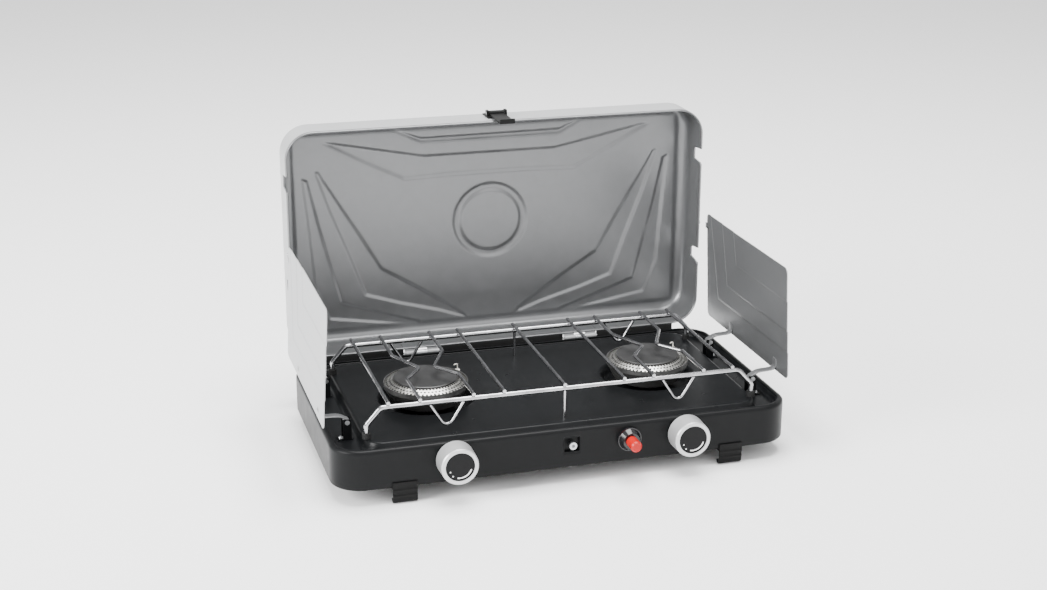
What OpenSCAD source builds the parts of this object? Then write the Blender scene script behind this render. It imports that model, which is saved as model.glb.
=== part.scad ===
// Two-burner folding camping stove: a pressed-steel base with a hob deck, a wire pan support,
// two folding windshields and a deep lid on two hinges.
// X runs left to right, Y front to back, Z up. Z = 0 is the surface that the feet stand on, and the
// origin lies under the middle of the whole stove with its lid open.

/* [Base] */
// Width of the base over its side walls
base_w = 520; // [470:1:640]
// Depth of the base over its front and back walls
base_d = 277; // [262:1:340]
// Radius of the base's upright corners
corner_r = 35; // [30:1:42]
// Height of the base's walls
wall_h = 45; // [43:1:60]
// Thickness of the pressed sheet steel
sheet = 0.8; // [0.6:0.1:1]
// Height that the feet lift the base
foot_h = 17.5; // [12:0.5:25]
// Width of the flat rim that the lid closes on
rim_w = 6; // [5:0.5:8]

/* [Hob deck] */
// Height of the deck's plateau above the rim
deck_rise = 3.5; // [2:0.5:6]
// Width of the channel at each side of the deck
channel_w = 28; // [24:1:32]
// Width of the channel behind the deck
back_channel_w = 14; // [10:1:20]
// Depth of the channels below the rim
channel_h = 8.5; // [6:0.5:10]
// Radius of the plateau's corners
deck_r = 24; // [16:1:26]

/* [Burners] */
// Distance of each burner from the middle of the stove
burner_x = 132; // [125:1:150]
// Place of the burners, behind the base's middle (a negative value is in front of it)
burner_y = -12; // [-20:1:5]
// Radius of the dished well round each burner
well_r = 51; // [49:0.5:53]
// Depth of the wells below the plateau
well_h = 12; // [8:0.5:12]
// Radius of the burner bowl's rim
bowl_r = 47.5; // [42:0.5:48]
// Height of the burner caps' tops above the plateau
cap_h = 25; // [22:0.5:27]
// Radius of the flat burner caps
cap_r = 36; // [30:0.5:38]
// Number of gas slots round each burner
slots = 30; // [16:2:36]
// Radius of the gas mixing tubes
mix_r = 8.5; // [7:0.5:8.5]

/* [Pan support] */
// Distance between the pan support's outer bars
support_w = 392; // [380:1:410]
// Distance between its front and back rails
support_d = 197; // [185:1:205]
// Height of the rails' middle above the plateau
support_h = 33; // [30:0.5:35]
// Diameter of the rail wire
rail_d = 5.5; // [4.5:0.1:6]
// Diameter of the bar wire
bar_d = 4; // [3:0.1:4.4]
// Distance of the plain bars from the middle
bar_x = 68.5; // [50:0.5:80]
// Half the distance between the two bars over a burner
pair_x = 29.4; // [26:0.2:34]
// Half the gap between those two bars at their narrowest
pair_gap = 8.5; // [6:0.5:14]

/* [Controls] */
// Distance of each knob from the middle of the stove
knob_x = 131; // [120:1:150]
// Height of the controls above the base's underside
control_h = 26.5; // [24:0.5:27]
// Radius of the knobs
knob_r = 21; // [17:0.5:22]
// How far the knobs stand out of the front wall
knob_out = 24.5; // [20:0.5:30]
// Radius of the valve stems
stem_r = 3; // [2.5:0.1:4]
// Distance of the igniter from the middle of the stove
igniter_x = 65; // [55:1:80]
// Radius of the igniter's push button
button_r = 6.3; // [5:0.1:7.5]
// How far the push button stands out of the front wall
button_out = 27; // [22:0.5:30]

/* [Windshields] */
// Length of each windshield from front to back
shield_l = 238; // [220:1:242]
// Height of each windshield's top edge above its hinge pins
shield_h = 137.5; // [110:0.5:138]
// Angle that the standing windshields lean inwards
shield_lean = 2.5; // [1:0.5:3]
// Distance of the hinge pins inside the base's side walls
shield_pin_in = 25; // [24:0.5:28]
// Height of the hinge pins above the rim
shield_pin_up = 11.7; // [11:0.1:12.5]
// Distance of the panel's plane from its hinge pins
shield_off = 31; // [30:0.5:31.5]
// Half the distance between the two hinge arms
arm_y = 63.5; // [50:0.5:70]
// Width of the hinge arms
arm_w = 9; // [7:0.5:11]

/* [Lid] */
// Depth of the lid
lid_depth = 53.5; // [52:0.5:60]
// How far the lid's side walls stand inside the base's side walls
lid_in = 3.2; // [2.5:0.1:4]
// Angle that the lid stands open from closed
lid_open = 90; // [80:1:100]
// Distance of each lid hinge from the middle
hinge_x = 101; // [60:1:150]
// Length of each lid hinge
hinge_l = 42; // [30:1:60]
// Width of the latch
latch_w = 25; // [20:1:30]

/* [Hidden] */
$fn = 48;
// Running clearance of pins and shafts in their bores
running = 0.05;
// Clearance between surfaces of pieces that move past each other
free_gap = 0.5;
// A little more, so that a cut passes right through
over = 1;
// How far crossing wires are sunk into each other by their welds
weld = 0.3;

// Levels
rim_z = foot_h + wall_h;
deck_z = rim_z + deck_rise;
channel_z = rim_z - channel_h;
well_z = deck_z - well_h;
control_z = foot_h + control_h;
rail_z = deck_z + support_h;
bar_z = rail_z + rail_d / 2 + bar_d / 2 - weld;

// The plateau's outline, from the base's middle
deck_half_w = base_w / 2 - rim_w - channel_w;
deck_front = -base_d / 2 + rim_w;
deck_back = base_d / 2 - rim_w - back_channel_w;

// Lid hinge line, behind and a little below the rim
knuckle_r = 3;
hinge_pin_r = 1.3;
hinge_y = base_d / 2 + knuckle_r + free_gap;
hinge_z = rim_z - 1;
// The closed lid stands on the rim with a small gap, and is nearly as deep as the base
lid_gap = 0.3;
lid_half_w = base_w / 2 - lid_in;
lid_half_d = base_d / 2 - 1;
lid_r = corner_r - 2;
lid_z = rim_z + lid_gap;
hem_w = 2.4;
hem_h = 3.6;

// Middle of the base in Y, which puts the origin under the middle of the whole open stove
front_reach = base_d / 2 + button_out;
back_reach = hinge_y + lid_z + lid_depth - hinge_z;
mid_y = (front_reach - back_reach) / 2;

// Windshield hinge pins
shield_pin_x = base_w / 2 - shield_pin_in;
shield_pin_z = rim_z + shield_pin_up;
shield_pin_r = 1.5;
shield_mid_y = 8;
arm_mid_y = -12.5;
eye_r = 3.4;
panel_t = 1;
hook_l = 7;
// Height of the arms where the lid's side walls pass them
arm_rise = 6.5;
arm_t = 1.6;

// Controls
front_y = -base_d / 2;
valve_r = 8;
valve_y = front_y + 6;
valve_l = 30;
jet_l = 10;
pipe_r = 4;
pipe_z = foot_h + 12;
inlet_x = burner_x + 43;
electrode_turn = 36;
electrode_reach = well_r + 4.5;
electrode_foot = deck_z - 14;
igniter_back = front_y + 50;
screw_r = 1.75;
peg_r = 3;
rivet_r = 1.4;
tail_r = 4;
tail_l = 16;
bezel_r = 13.5;
button_travel = 6;
// Radius of the igniter's neck through the wall
igniter_neck_r = 7.4;
catch_w = 19;
catch_h = 18;
catch_z = rim_z - 18.5;
catch_deep = 5;
stud_r = 4.2;
latch_pin_z = lid_z + 22;
latch_y = -lid_half_d - 5;
latch_t = 2.4;

module at_base() {
  translate([0, mid_y, 0]) children();
}

// One piece on the left and its mirror image on the right, by side: -1 or 1
module on_side(side) {
  if (side > 0) children();
  else mirror([1, 0, 0]) children();
}

module both_sides() {
  children();
  mirror([1, 0, 0]) children();
}

// Rectangle with round corners, about its middle
module rounded(w, d, r) {
  square([w - 2 * r, d], center = true);
  square([w, d - 2 * r], center = true);
  for (x = [-1, 1], y = [-1, 1]) translate([x * (w / 2 - r), y * (d / 2 - r)]) circle(r);
}

module slab(z0, z1) {
  translate([0, 0, z0]) linear_extrude(z1 - z0) children();
}

// Straight rod from point a to point b
module rod(a, b, d) {
  v = b - a;
  l = norm(v);
  translate(a) rotate([0, acos(v[2] / l), atan2(v[1], v[0])]) cylinder(h = l, d = d, $fn = 24);
}

// How far a bend of radius r starts before the corner at p[i]
function trim(p, i, r) = i < 1 || i > len(p) - 2 ? 0 : r * tan(abs(turn(p, i)) / 2);
function heading(p, i) = atan2(p[i + 1][1] - p[i][1], p[i + 1][0] - p[i][0]);
function turn(p, i) = (heading(p, i) - heading(p, i - 1) + 540) % 360 - 180;
// How far a straight stretch reaches into a bend, where the list has one
function reach(p, i) = i < 1 || i > len(p) - 2 ? 0 : 0.2;

// Wire bent in the XY plane along a list of points, with round bends of radius r that swell a little
module flat_wire(p, d, r) {
  swell = 1.03;
  for (i = [0:len(p) - 2]) {
    start = trim(p, i, r) - reach(p, i);
    end = trim(p, i + 1, r) - reach(p, i + 1);
    translate([p[i][0], p[i][1], 0]) rotate([0, 0, heading(p, i)]) translate([start, 0, 0])
      rotate([0, 90, 0]) cylinder(h = norm(p[i + 1] - p[i]) - start - end, d = d, $fn = 24);
  }
  for (i = [1:len(p) - 2]) {
    way = turn(p, i) > 0 ? 1 : -1;
    translate([p[i][0], p[i][1], 0]) rotate([0, 0, heading(p, i - 1)]) translate([-trim(p, i, r), way * r, 0])
      rotate([0, 0, way > 0 ? -90 : 90 - abs(turn(p, i))]) rotate_extrude(angle = abs(turn(p, i)), $fn = 72)
        translate([r, 0]) circle(d = d * swell, $fn = 24);
  }
}

// The same, standing up in the XZ plane
module standing_wire(p, d, r) {
  rotate([90, 0, 0]) flat_wire(p, d, r);
}

// Cylinder along Y from y0 to y1
module along_y(x, y0, y1, z, r) {
  translate([x, y0, z]) rotate([-90, 0, 0]) cylinder(h = y1 - y0, r = r);
}

// Cylinder along X from x0 to x1
module along_x(x0, x1, y, z, r) {
  translate([x0, y, z]) rotate([0, 90, 0]) cylinder(h = x1 - x0, r = r);
}

// Outline of the base, drawn in by t
module base_outline(t = 0) {
  rounded(base_w - 2 * t, base_d - 2 * t, corner_r - t);
}

// Outline of the plateau, drawn in by t
module deck_outline(t = 0) {
  w = 2 * (deck_half_w - t);
  d = deck_back - deck_front - 2 * t;
  translate([0, (deck_back + deck_front) / 2]) rounded(w, d, deck_r - t);
}

/* Base */

// Pressed walls with a flat rim turned in at the top and a flange turned in at the bottom
module base_shell() {
  flange = 10;
  color("#26292b") at_base() difference() {
    union() {
      slab(foot_h, rim_z) difference() {
        base_outline();
        base_outline(sheet);
      }
      slab(rim_z - sheet, rim_z) difference() {
        base_outline();
        base_outline(rim_w);
      }
      slab(foot_h, foot_h + sheet) difference() {
        base_outline();
        base_outline(flange);
      }
    }
    for (s = [-1, 1]) along_y(s * knob_x, front_y - over, front_y + sheet + over, control_z, stem_r + 1.5);
    along_y(igniter_x, front_y - over, front_y + sheet + over, control_z, igniter_neck_r + running);
    translate([-catch_w / 2, front_y - over, catch_z - catch_h / 2]) cube([catch_w, sheet + 2 * over, catch_h]);
    along_y(inlet_x, -front_y - sheet - over, -front_y + over, pipe_z, 6 + running);
    screw_places() cylinder(h = 4, r = screw_r + running, center = true);
  }
}

// The deck's upper surface as a block, drawn in by t and lowered by t
module deck_block(t) {
  low = channel_z - sheet - t;
  difference() {
    slab(low, rim_z - sheet - t) base_outline(sheet + 0.1 + t);
    slab(channel_z - t, rim_z + over) difference() {
      base_outline(rim_w - t);
      deck_outline(t);
    }
  }
  slab(low, deck_z - t) deck_outline(t);
}

module deck_wells(t) {
  for (s = [-1, 1]) translate([s * burner_x, burner_y, well_z - t]) cylinder(h = well_h + over, r = well_r + t);
}

// Pressed hob deck: a raised plateau with two dished wells, and a channel round its sides and back
module top_deck() {
  neck_hole = 17;
  color("#202325") at_base() difference() {
    union() {
      difference() {
        deck_block(0);
        deck_block(sheet);
      }
      intersection() {
        slab(well_z - sheet, deck_z) deck_outline(1);
        deck_wells(sheet);
      }
    }
    deck_wells(0);
    rivet_places() cylinder(h = 6, r = rivet_r + running, center = true);
    for (s = [-1, 1]) {
      translate([s * burner_x, burner_y, well_z - 2 * sheet]) cylinder(h = 3 * sheet, r = neck_hole);
      electrode_place(s) translate([0, 0, deck_z - 3]) cylinder(h = 6, r = 3.8);
    }
  }
}

// Pressed bottom with two rows of air slots under the burners
module bottom_plate() {
  z = foot_h + sheet;
  color("#2a2c2d") at_base() difference() {
    slab(z, z + sheet) base_outline(sheet + 0.3);
    for (s = [-1, 1], i = [-3:3], row = [-1, 1])
      translate([s * burner_x + 12 * i - 3, burner_y + 26 * row - 18, z - over]) cube([6, 36, 3]);
    screw_places() cylinder(h = 4, r = screw_r + running, center = true);
    feet_places() cylinder(h = 2 * over + sheet, r = peg_r + running);
  }
}

module screw_places() {
  for (x = [-1, 1], y = [-1, 1])
    translate([x * (base_w / 2 - 6), y * (base_d / 2 - corner_r - 6), foot_h + sheet]) children();
  for (y = [-1, 1]) translate([0, y * (base_d / 2 - 6), foot_h + sheet]) children();
}

// Self-tapping screws that hold the bottom plate up against the flange
module bottom_screws() {
  color("silver") at_base() screw_places() {
    translate([0, 0, -sheet - 1.6]) cylinder(h = 1.6, r1 = 2.2, r2 = 3.2);
    translate([0, 0, -sheet]) cylinder(h = 5, r = screw_r);
  }
}

// Folded spring-steel foot: a plate over the wall's lower edge, curled back under at the floor
module foot_clip(side) {
  x = base_w / 2 - 74.5;
  w = 27;
  t = 2;
  curl = 4;
  color("#1d1f20") at_base() on_side(side) translate([x - w / 2, front_y, 0]) {
    rotate([90, 0, 90]) linear_extrude(w) {
      translate([-t, curl]) square([t, foot_h + 6.5 - curl]);
      difference() {
        translate([curl - t, curl]) circle(curl);
        translate([curl - t, curl]) circle(curl - t);
        translate([-curl, curl]) square([3 * curl, 2 * curl]);
      }
      translate([0, foot_h - t]) square([22, t]);
      translate([20, foot_h - 6]) square([t, 6 - t]);
    }
  }
}

module foot_clip_left() { foot_clip(-1); }
module foot_clip_right() { foot_clip(1); }

module feet_places() {
  both_sides() translate([base_w / 2 - 60, base_d / 2 - 45, foot_h + sheet - over]) children();
}

// Moulded rubber feet under the back corners, pulled through the bottom plate by their pegs
module rear_feet() {
  color("#191919") at_base() feet_places() {
    translate([0, 0, over - foot_h - sheet]) cylinder(h = foot_h + sheet, r1 = 8.5, r2 = 10);
    cylinder(h = over + 2 * sheet + 1, r = peg_r);
  }
}

// Pressed recess in the front wall that the latch closes over
module catch_cup() {
  depth = catch_deep;
  color("#1b1d1e") at_base() translate([-catch_w / 2, front_y, catch_z - catch_h / 2]) difference() {
    translate([0, 0, 0]) cube([catch_w, depth, catch_h]);
    translate([sheet, -over, sheet]) cube([catch_w - 2 * sheet, depth - sheet + over, catch_h - 2 * sheet]);
    translate([catch_w / 2, 0, catch_h / 2]) rotate([-90, 0, 0]) cylinder(h = 20, r = 2.5);
  }
}

// Hollow rivet that stands in the recess
module catch_stud() {
  color("silver") at_base() difference() {
    union() {
      along_y(0, front_y - 4.6, front_y - 1.5, catch_z, stud_r);
      along_y(0, front_y - 1.5, front_y + catch_deep + 1.4, catch_z, 2.5 - running);
      along_y(0, front_y + catch_deep, front_y + catch_deep + 1.4, catch_z, stud_r - 0.4);
    }
    along_y(0, front_y - 6, front_y - 1, catch_z, 1.9);
  }
}

/* Gas train */

// Brass inlet through the back wall: a collar outside and a plain tail for the gas hose
module gas_inlet() {
  wall_y = base_d / 2;
  tail = wall_y + 6;
  color("#b08d4a") at_base() difference() {
    union() {
      along_y(inlet_x, wall_y - 14, tail, pipe_z, 6);
      translate([inlet_x, wall_y + 4.5, pipe_z]) rotate([90, 0, 0]) cylinder(h = 4.5, r = 9, $fn = 6);
      along_y(inlet_x, tail, tail + tail_l, pipe_z, tail_r);
      translate([inlet_x, tail + tail_l, pipe_z]) rotate([-90, 0, 0]) cylinder(h = 1, r1 = tail_r, r2 = tail_r - 1);
    }
    along_y(inlet_x, wall_y - 10, tail + tail_l + 2, pipe_z, 2);
  }
}

module inlet_nut() {
  wall_y = base_d / 2 - sheet;
  color("#9c7c40") at_base() difference() {
    translate([inlet_x, wall_y, pipe_z]) rotate([90, 0, 0]) cylinder(h = 4, r = 9.5, $fn = 6);
    along_y(inlet_x, wall_y - 5, wall_y + 1, pipe_z, 6 + running);
  }
}

// Steel gas pipe from the inlet along the right side to both valves
module manifold_pipe() {
  y = valve_y + valve_l / 2;
  color("#8c8f91") at_base() {
    translate([0, 0, pipe_z]) flat_wire([[-knob_x - 12, y], [inlet_x, y], [inlet_x, base_d / 2 - 14]],
      2 * pipe_r, 16);
    for (s = [-1, 1]) translate([s * knob_x, y, pipe_z])
      cylinder(h = control_z - valve_r + 1.5 - pipe_z, r = 3 - running);
  }
}

// Brass valve body with a bore for its stem and a boss down to the gas pipe
module valve(side) {
  x = side * knob_x;
  color("#a98748") at_base() difference() {
    union() {
      along_y(x, valve_y, valve_y + valve_l, control_z, valve_r);
      along_y(x, front_y + sheet, valve_y, control_z, stem_r + 4);
      translate([x - 11, valve_y, control_z - 3]) cube([22, 3, 6]);
    }
    along_y(x, front_y - over, valve_y + valve_l - 8, control_z, stem_r + running);
    translate([x, valve_y + valve_l / 2, control_z - valve_r - over]) cylinder(h = 3, r = 3);
    along_y(x, valve_y + valve_l - 4, valve_y + valve_l + over, control_z, 2.5);
  }
}

module valve_left() { valve(-1); }
module valve_right() { valve(1); }

// Jet screwed into the back of the valve, pointing into the mixing tube
module jet(side) {
  x = side * knob_x;
  y = valve_y + valve_l;
  color("#c9a55a") at_base() difference() {
    union() {
      along_y(x, y - 4, y, control_z, 2.5 - running);
      translate([x, y + 4, control_z]) rotate([90, 0, 0]) cylinder(h = 4, r = 5, $fn = 6);
      translate([x, y + 4, control_z]) rotate([-90, 0, 0]) cylinder(h = jet_l - 4, r1 = 4, r2 = 2);
    }
    along_y(x, y - 5, y + jet_l + over, control_z, 0.8);
  }
}

module jet_left() { jet(-1); }
module jet_right() { jet(1); }

// Mixing tube from the jet to the burner's neck, with an air slot on each side
module mixing_tube(side) {
  y0 = valve_y + valve_l + jet_l - 4;
  color("#7d8082") at_base() on_side(side) difference() {
    union() {
      along_y(knob_x, y0, burner_y - 6, control_z, mix_r);
    }
    along_y(knob_x, y0 - over, burner_y, control_z, mix_r - 1);
    translate([knob_x - mix_r - over, y0 + 6, control_z - 3]) cube([2 * mix_r + 2 * over, 12, 6]);
  }
}

module mixing_tube_left() { mixing_tube(-1); }
module mixing_tube_right() { mixing_tube(1); }

/* Burners */

module at_burner(side) {
  at_base() translate([side * burner_x, burner_y, 0]) children();
}

// Flared steel bowl on a closed neck, open on top for the slotted ring
module burner_bowl(side) {
  rim = deck_z + cap_h - 5.5;
  t = 1;
  neck_r = 14;
  low = control_z - mix_r - 3;
  color("#8a8c8c") at_burner(side) difference() {
    rotate_extrude() polygon([[0, low], [neck_r, low], [neck_r, well_z], [38, well_z + 9],
      [bowl_r, rim - 5], [bowl_r, rim], [bowl_r - t, rim], [bowl_r - t, rim - 4.5], [37.5, well_z + 10.5],
      [neck_r - t, well_z + 1], [neck_r - t, low + t], [0, low + t]]);
    along_y(side * (knob_x - burner_x), -neck_r - over, 0, control_z, mix_r + running);
  }
}

module burner_bowl_left() { burner_bowl(-1); }
module burner_bowl_right() { burner_bowl(1); }

// Sloping ring with gas slots between the bowl's rim and the cap
module burner_ring(side) {
  top = deck_z + cap_h - 1.5;
  low = deck_z + cap_h - 8;
  outer = bowl_r - 1 - 0.1;
  inner = cap_r - 1;
  color("#9a9b97") at_burner(side) difference() {
    rotate_extrude() polygon([[outer, low], [outer, low + 1.5], [inner, top], [inner - 4, top],
      [inner - 4, top - 1], [inner - 1, top - 1], [outer - 1.2, low]]);
    for (i = [0:slots - 1]) rotate([0, 0, 360 * i / slots])
      translate([(outer + inner) / 2 - 2.5, -1, low - over]) cube([5, 2, 12]);
  }
}

module burner_ring_left() { burner_ring(-1); }
module burner_ring_right() { burner_ring(1); }

// Flat cap that closes the burner, with a lip turned down over the ring
module burner_cap(side) {
  top = deck_z + cap_h;
  lip_r = cap_r - 5.2;
  color("#6d6e6d") at_burner(side) rotate_extrude()
    polygon([[0, top - 1.4], [lip_r - 1, top - 1.4], [lip_r - 1, top - 2.6], [lip_r, top - 2.6],
      [lip_r, top - 1.4], [cap_r, top - 1.4], [cap_r, top - 0.6], [cap_r - 1, top], [0, top]]);
}

module burner_cap_left() { burner_cap(-1); }
module burner_cap_right() { burner_cap(1); }

module electrode_place(side) {
  translate([side * burner_x, burner_y, 0]) rotate([0, 0, electrode_turn])
    translate([electrode_reach, 0, 0]) rotate([0, 0, -electrode_turn]) children();
}

// Ceramic rod up through the deck with a bent spark wire that points at the burner ring
module electrode(side) {
  top = deck_z + cap_h - 9;
  color("#e8e4da") at_base() electrode_place(side) {
    translate([0, 0, electrode_foot]) cylinder(h = top - electrode_foot, r = 2.8);
    translate([0, 0, deck_z]) cylinder(h = 3, r = 4.6);
    rotate([0, 0, electrode_turn]) standing_wire([[0, top - 2], [0, top + 7], [-6, top + 7.5]], 1.4, 2.5);
  }
}

module electrode_left() { electrode(-1); }
module electrode_right() { electrode(1); }

// Silicone lead from the igniter to the electrode's foot
module ignition_lead(side) {
  x0 = igniter_x + 3 * side;
  x1 = side * burner_x + electrode_reach * cos(electrode_turn);
  y = burner_y + electrode_reach * sin(electrode_turn);
  last = 12;
  color("#3a3a3a") at_base() {
    translate([0, 0, control_z]) flat_wire([[x0, igniter_back], [x0, y], [x1 - side * last, y]], 2.4, 10);
    translate([0, y, 0]) standing_wire([[x1 - side * last, control_z], [x1, control_z], [x1, electrode_foot]],
      2.4, 4);
  }
}

module ignition_lead_left() { ignition_lead(-1); }
module ignition_lead_right() { ignition_lead(1); }

/* Igniter and knobs */

// Sealed piezo unit behind the front wall, with a bore for the push button's shaft
module igniter_body() {
  y = front_y + sheet;
  color("#2c2c2c") at_base() difference() {
    union() {
      along_y(igniter_x, front_y, y + 6, control_z, igniter_neck_r);
      along_y(igniter_x, y + 6, igniter_back, control_z, igniter_neck_r - 0.5);
    }
    along_y(igniter_x, front_y - over, front_y + 30, control_z, 3.2 + running);
  }
}

// Round nose outside the wall that guides the push button
module igniter_bezel() {
  color("#101112") at_base() difference() {
    union() {
      along_y(igniter_x, front_y - 4, front_y, control_z, bezel_r);
      translate([igniter_x, front_y - 10, control_z]) rotate([-90, 0, 0])
        cylinder(h = 6, r1 = button_r + 3, r2 = bezel_r - 1);
    }
    along_y(igniter_x, front_y - 12, front_y + over, control_z, button_r + running);
  }
}

module igniter_nut() {
  y = front_y + sheet;
  color("#3b3d3e") at_base() difference() {
    translate([igniter_x, y + 4, control_z]) rotate([90, 0, 0]) cylinder(h = 4, r = igniter_neck_r + 2.7, $fn = 6);
    along_y(igniter_x, y - over, y + 5, control_z, igniter_neck_r + running);
  }
}

// Push button with its shaft, which goes in by button_travel
module igniter_button() {
  color("#e0382c") at_base() {
    along_y(igniter_x, front_y - button_out + 2, front_y - button_travel - 1, control_z, button_r);
    translate([igniter_x, front_y - button_out, control_z]) rotate([-90, 0, 0])
      cylinder(h = 2, r1 = button_r - 1.4, r2 = button_r);
    along_y(igniter_x, front_y - button_travel - 1, front_y + 14, control_z, 3.2);
  }
}

// Valve stem with a flat for its knob
module valve_stem(side) {
  x = side * knob_x;
  color("#b9bbbd") at_base() difference() {
    along_y(x, front_y - knob_out + 6, valve_y + valve_l - 9, control_z, stem_r);
    translate([x - stem_r, front_y - knob_out + 5, control_z + stem_r - 1])
      cube([2 * stem_r, knob_out - 9, 2]);
  }
}

module valve_stem_left() { valve_stem(-1); }
module valve_stem_right() { valve_stem(1); }

// Hollow satin knob: a skirt, a web with a hub, and a deep ring round the face
module knob(side) {
  x = side * knob_x;
  front = front_y - knob_out;
  color("#c6c8c9") at_base() difference() {
    union() {
      translate([x, front + 1.2, control_z]) rotate([-90, 0, 0])
        cylinder(h = knob_out - 3.2, r1 = knob_r - 0.6, r2 = knob_r);
      translate([x, front, control_z]) rotate([-90, 0, 0]) cylinder(h = 1.2, r1 = knob_r - 1.6, r2 = knob_r - 0.6);
    }
    along_y(x, front - over, front + 2.6, control_z, knob_r - 5);
    difference() {
      along_y(x, front + 5, front_y, control_z, knob_r - 2.4);
      along_y(x, front + 4, front_y, control_z, 6.5);
    }
    along_y(x, front + 5.5, front_y, control_z, stem_r + running);
  }
}

module knob_left() { knob(-1); }
module knob_right() { knob(1); }

// Dark insert in the knob's face
module knob_face(side) {
  front = front_y - knob_out;
  color("#3c3e40") at_base() along_y(side * knob_x, front + 1, front + 2.6, control_z, knob_r - 5 - running);
}

module knob_face_left() { knob_face(-1); }
module knob_face_right() { knob_face(1); }

/* Pan support */

foot_x = support_w / 2 + 24;
rail_bend_x = support_w / 2 + 8;
foot_tip_z = deck_z + 2;
grommet_r = 4.6;
grommet_h = 6;

// Rubber cups on the deck that the support's four feet stand in
module support_grommets() {
  color("#161616") at_base() for (x = [-1, 1], y = [-1, 1])
    translate([x * foot_x, burner_y + y * support_d / 2, deck_z]) difference() {
      cylinder(h = grommet_h, r = grommet_r);
      translate([0, 0, 1.8]) cylinder(h = grommet_h, r = rail_d / 2 + 0.4);
    }
}

// Rail whose ends turn down and out to the feet
module support_rail(y) {
  half = [[rail_bend_x, rail_z], [foot_x, rail_z - 18], [foot_x, foot_tip_z]];
  color("#c9cbcc") at_base() translate([0, y, 0]) standing_wire([for (i = [2:-1:0]) [-half[i][0], half[i][1]],
    for (i = [0:2]) half[i]], rail_d, 8);
}

module support_front_rail() { support_rail(burner_y - support_d / 2); }
module support_back_rail() { support_rail(burner_y + support_d / 2); }

bar_front = burner_y - support_d / 2 - 2;
bar_back = burner_y + support_d / 2 + 8;

// Straight bars across the rails: the middle one, two beside it and one at each end
module support_cross_bars() {
  color("#c9cbcc") at_base() for (x = [-support_w / 2, -bar_x, 0, bar_x, support_w / 2])
    rod([x, bar_front, bar_z], [x, bar_back, bar_z], bar_d);
}

// Two pairs of bars that close in over the burners to hold a small pan
module support_burner_bars() {
  color("#c9cbcc") at_base() translate([0, 0, bar_z]) for (s = [-1, 1], e = [-1, 1])
    translate([s * burner_x, 0, 0]) flat_wire([[e * pair_x, bar_front], [e * pair_x, burner_y - 36],
      [e * pair_gap, burner_y - 6], [e * pair_x, burner_y + 40], [e * pair_x, bar_back]], bar_d, 8);
}

// V-shaped hangers under the rails beside the burners, and a straight leg in the middle of each rail
module support_hangers() {
  d = 3.4;
  low = deck_z + 0.4;
  top = rail_z - rail_d / 2 + weld;
  half = 18.5;
  corner = low + d / 2 - 2;
  color("#c9cbcc") at_base() for (y = [-1, 1]) translate([0, burner_y + y * support_d / 2, 0]) {
    for (s = [-1, 1]) translate([s * burner_x, 0, 0])
      standing_wire([[-half, top], [0, corner], [half, top]], d, 7);
    translate([0, 0, low]) cylinder(h = top - low, d = d);
  }
}

/* Windshields */

// Frame of the right windshield: local X is its outward normal and Z its height from the pins
module shield_frame() {
  translate([shield_pin_x, 0, shield_pin_z]) rotate([0, -shield_lean, 0]) children();
}

arm_places = [arm_mid_y - arm_y, arm_mid_y + arm_y];

// U-shaped brackets in the side channels, two a side
module windshield_brackets() {
  t = 1.2;
  half = arm_w / 2 + free_gap;
  w = 9;
  color("#2b2d2f") at_base() both_sides() for (y = arm_places) translate([shield_pin_x, y, channel_z]) difference() {
    union() {
      translate([-w / 2 - 2, -half - t, 0]) cube([w + 8, 2 * half + 2 * t, t]);
      for (e = [-1, 1]) translate([-w / 2, e * (half + t / 2) - t / 2, 0])
        cube([w, t, shield_pin_z - channel_z + 3.2]);
    }
    along_y(0, -half - t - over, half + t + over, shield_pin_z - channel_z, shield_pin_r);
    translate([6.5, 0, 0]) cylinder(h = 4, r = rivet_r + running, center = true);
  }
}

module rivet_places() {
  both_sides() for (y = arm_places) translate([shield_pin_x + 6.5, y, channel_z]) children();
}

// Rivets that hold the brackets down on the channel's floor
module bracket_rivets() {
  color("silver") at_base() rivet_places() {
    translate([0, 0, 1.2]) cylinder(h = 1.4, r1 = 3, r2 = 2);
    translate([0, 0, -sheet]) cylinder(h = sheet + 1.2, r = rivet_r);
    translate([0, 0, -sheet - 1]) cylinder(h = 1, r = 2.4);
  }
}

// Steel pins through the brackets
module windshield_pins() {
  half = arm_w / 2 + free_gap + 1.2;
  color("silver") at_base() both_sides() for (y = arm_places) {
    along_y(shield_pin_x, y - half - 1, y + half + 1, shield_pin_z, shield_pin_r);
    for (e = [-1, 1]) along_y(shield_pin_x, y + e * (half + 0.6) - 0.6, y + e * (half + 0.6) + 0.6,
      shield_pin_z, 2.6);
  }
}

// Side profile of one arm, in the panel's frame: an eye round the pin and a strip arching out to the panel
module arm_profile() {
  o = shield_off;
  difference() {
    union() {
      circle(eye_r);
      polygon([[0, 1.6], [-1.6, 2.8], [5, arm_rise - 0.4], [12, arm_rise + 0.8], [24, arm_rise + 0.8],
        [o - panel_t / 2, arm_rise + 4], [o - panel_t / 2, arm_rise + 1.2], [24, arm_rise + 0.8 - arm_t],
        [12, arm_rise + 0.8 - arm_t], [6, arm_rise - 1.8], [2.9, 1]]);
    }
    circle(shield_pin_r + running);
  }
}

// Outline of the panel, seen from outside: height along its second axis
module panel_outline() {
  low = 5;
  r = 7;
  translate([shield_mid_y, (shield_h + low) / 2]) rounded(shield_l, shield_h - low, r);
}

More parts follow.
